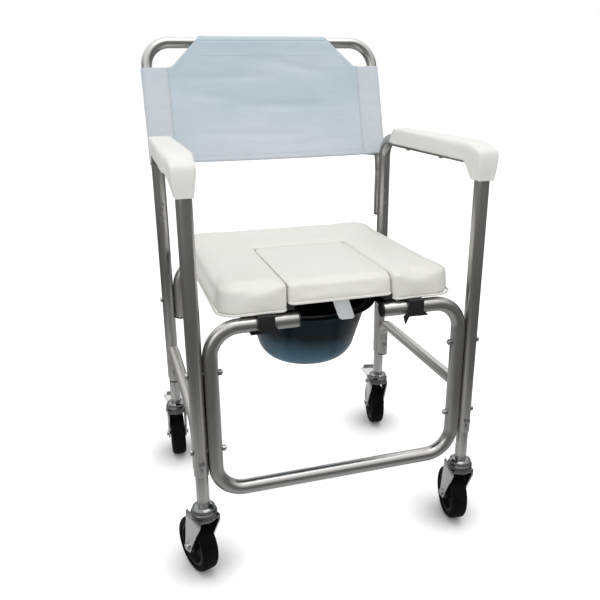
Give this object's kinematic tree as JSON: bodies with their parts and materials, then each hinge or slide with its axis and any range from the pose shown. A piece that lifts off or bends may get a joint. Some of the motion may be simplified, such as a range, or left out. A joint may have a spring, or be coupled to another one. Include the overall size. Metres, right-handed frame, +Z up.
{
  "type": "shower commode chair",
  "caption": "Wheeled shower commode chair with a bent aluminium tube frame, sling back, padded seat with draw-out insert, pail on rails, arm pads and braked swivel casters.",
  "frame": {"origin": "on the floor, under the middle of the part's bounding box", "axes": "+Z up, the chair faces -Y, +X to the left of the person sitting in it"},
  "size_m": [0.5822, 0.5534, 0.9328],
  "materials": {
    "tube": "satin",
    "extension": "satin",
    "fastener": "satin",
    "black_plastic": "matte",
    "arm_pad": "satin",
    "sling": "matte",
    "seat_vinyl": "satin",
    "seat_board": "matte",
    "tab": "matte",
    "rail": "satin",
    "pail": "gloss",
    "zinc": "satin",
    "tyre": "matte",
    "hub": "matte"
  },
  "bodies": {
    "frame": {"side_frame_left": "tube", "side_frame_right": "tube", "front_frame": "tube", "back_frame": "tube", "rear_crossbar": "tube", "stretcher_left": "tube", "stretcher_right": "tube", "leg_tube_fl": "extension", "leg_tube_fr": "extension", "leg_tube_rl": "extension", "leg_tube_rr": "extension", "front_frame_bolts": "fastener", "back_frame_bolts": "fastener", "crossbar_bolts": "fastener", "stretcher_bolts": "fastener", "front_frame_plugs": "black_plastic", "frame_plugs": "black_plastic", "arm_pad_left": "arm_pad", "arm_pad_right": "arm_pad", "arm_pad_screws": "fastener", "back_sling": "sling", "pail_rail_left": "rail", "pail_rail_right": "rail", "pail_rail_screws": "fastener", "caster_race_fl": "zinc", "caster_race_fr": "zinc", "caster_race_rl": "zinc", "caster_race_rr": "zinc"},
    "seat": {"seat_board": "seat_board", "seat_cushion": "seat_vinyl", "seat_clip_fl": "black_plastic", "seat_clip_fr": "black_plastic", "seat_clip_rl": "black_plastic", "seat_clip_rr": "black_plastic", "seat_clip_screws": "fastener"},
    "seat_insert": {"insert_board": "seat_board", "insert_cushion": "seat_vinyl", "insert_tab": "tab"},
    "pail": {"pail": "pail"},
    "caster_fl": {"caster_fork_fl": "zinc", "caster_axle_fl": "zinc"},
    "wheel_fl": {"wheel_tyre_fl": "tyre", "wheel_hub_fl": "hub"},
    "caster_fr": {"caster_fork_fr": "zinc", "caster_axle_fr": "zinc"},
    "wheel_fr": {"wheel_tyre_fr": "tyre", "wheel_hub_fr": "hub"},
    "caster_rl": {"caster_fork_rl": "zinc", "caster_axle_rl": "zinc", "brake_pin_rl": "zinc"},
    "wheel_rl": {"wheel_tyre_rl": "tyre", "wheel_hub_rl": "hub"},
    "caster_rr": {"caster_fork_rr": "zinc", "caster_axle_rr": "zinc", "brake_pin_rr": "zinc"},
    "wheel_rr": {"wheel_tyre_rr": "tyre", "wheel_hub_rr": "hub"},
    "pedal_rl": {"brake_pedal_rl": "zinc"},
    "pedal_rr": {"brake_pedal_rr": "zinc"}
  },
  "joints": [
    {"name": "seat_lift", "type": "hinge", "parent": "frame", "child": "seat", "pos_m": [0, 0.1605, 0.472], "axis": [-1, 0, 0], "range_deg": [0, 70]},
    {"name": "insert_slide", "type": "slide", "parent": "seat", "child": "seat_insert", "axis": [0, -1, 0], "range_m": [0, 0.27]},
    {"name": "pail_slide", "type": "slide", "parent": "frame", "child": "pail", "axis": [0, -1, 0], "range_m": [0, 0.25]},
    {"name": "swivel_fl", "type": "hinge", "parent": "frame", "child": "caster_fl", "pos_m": [-0.25, -0.2475, 0.148], "axis": [0, 0, 1], "continuous": true},
    {"name": "wheel_spin_fl", "type": "hinge", "parent": "caster_fl", "child": "wheel_fl", "pos_m": [-0.26026, -0.21931, 0.051], "axis": [0.9397, 0.342, 0], "continuous": true},
    {"name": "swivel_fr", "type": "hinge", "parent": "frame", "child": "caster_fr", "pos_m": [0.25, -0.2475, 0.148], "axis": [0, 0, 1], "continuous": true},
    {"name": "wheel_spin_fr", "type": "hinge", "parent": "caster_fr", "child": "wheel_fr", "pos_m": [0.25521, -0.21796, 0.051], "axis": [0.9848, -0.1736, 0], "continuous": true},
    {"name": "swivel_rl", "type": "hinge", "parent": "frame", "child": "caster_rl", "pos_m": [-0.25, 0.1605, 0.148], "axis": [0, 0, 1], "continuous": true},
    {"name": "wheel_spin_rl", "type": "hinge", "parent": "caster_rl", "child": "wheel_rl", "pos_m": [-0.24895, 0.19048, 0.051], "axis": [0.9994, -0.0349, 0], "continuous": true},
    {"name": "swivel_rr", "type": "hinge", "parent": "frame", "child": "caster_rr", "pos_m": [0.25, 0.1605, 0.148], "axis": [0, 0, 1], "continuous": true},
    {"name": "wheel_spin_rr", "type": "hinge", "parent": "caster_rr", "child": "wheel_rr", "pos_m": [0.25572, 0.18995, 0.051], "axis": [0.9816, -0.1908, 0], "continuous": true},
    {"name": "brake_rl", "type": "hinge", "parent": "caster_rl", "child": "pedal_rl", "pos_m": [-0.24895, 0.19048, 0.1127], "axis": [-0.9994, 0.0349, 0], "range_deg": [0, 31]},
    {"name": "brake_rr", "type": "hinge", "parent": "caster_rr", "child": "pedal_rr", "pos_m": [0.25572, 0.18995, 0.1127], "axis": [-0.9816, 0.1908, 0], "range_deg": [0, 31]}
  ]
}
